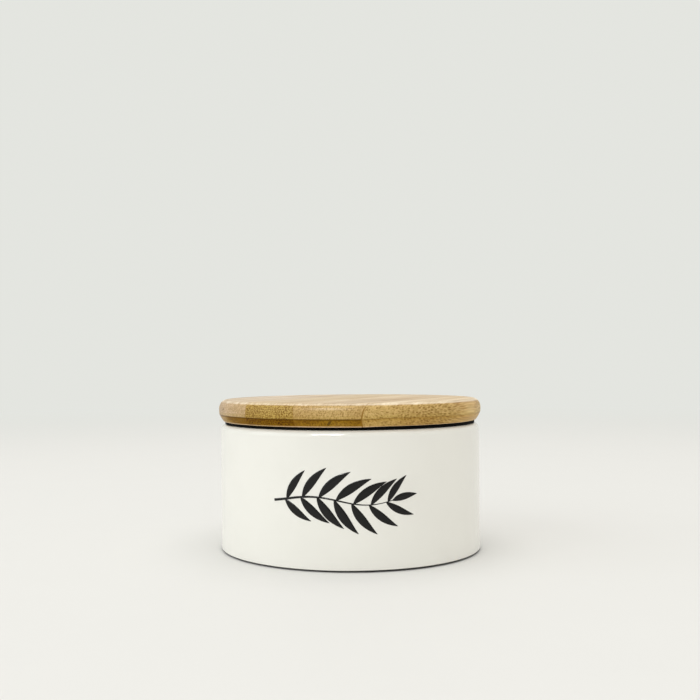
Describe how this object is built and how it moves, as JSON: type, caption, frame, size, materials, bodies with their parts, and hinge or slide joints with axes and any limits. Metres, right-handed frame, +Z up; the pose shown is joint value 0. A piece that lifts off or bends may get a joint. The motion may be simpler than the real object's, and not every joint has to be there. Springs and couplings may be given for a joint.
{
  "type": "salt box with hinged lid",
  "caption": "Round glazed ceramic pot with a flat bamboo lid that swings up on a hinge at the back and closes on a soft black seal, for keeping salt at hand",
  "frame": {"origin": "centre of the foot ring, on the surface that the pot stands on", "axes": "+Z up, -Y to the front, +Y to the hinge at the back, +X to the right as seen from the front"},
  "size_m": [0.1094, 0.1139, 0.0619],
  "materials": {
    "glaze": "smooth glossy cream-white glaze, bare at the foot ring",
    "bamboo": "laminated bamboo, sanded and oiled, satin",
    "silicone": "matt black silicone",
    "steel": "brushed stainless steel",
    "black_enamel": "glossy black enamel of the ornament on the front"
  },
  "bodies": {
    "pot_body": {"pot": "glaze", "hinge_leaf_pot": "steel", "hinge_pin": "steel", "hinge_pad": "silicone", "pot_screw_left": "steel", "pot_screw_right": "steel", "soft_washer_left": "silicone", "soft_washer_right": "silicone", "steel_washer_left": "steel", "steel_washer_right": "steel", "acorn_nut_left": "steel", "acorn_nut_right": "steel"},
    "lid_body": {"lid_board": "bamboo", "lid_plug": "bamboo", "seal_ring": "silicone", "hinge_leaf_lid": "steel", "lid_screw_left": "steel", "lid_screw_right": "steel"}
  },
  "joints": [
    {"name": "lid_hinge", "type": "hinge", "parent": "pot_body", "child": "lid_body", "pos_m": [0, 0.05501, 0.0526], "axis": [-1, 0, 0], "range_deg": [0, 105]}
  ]
}
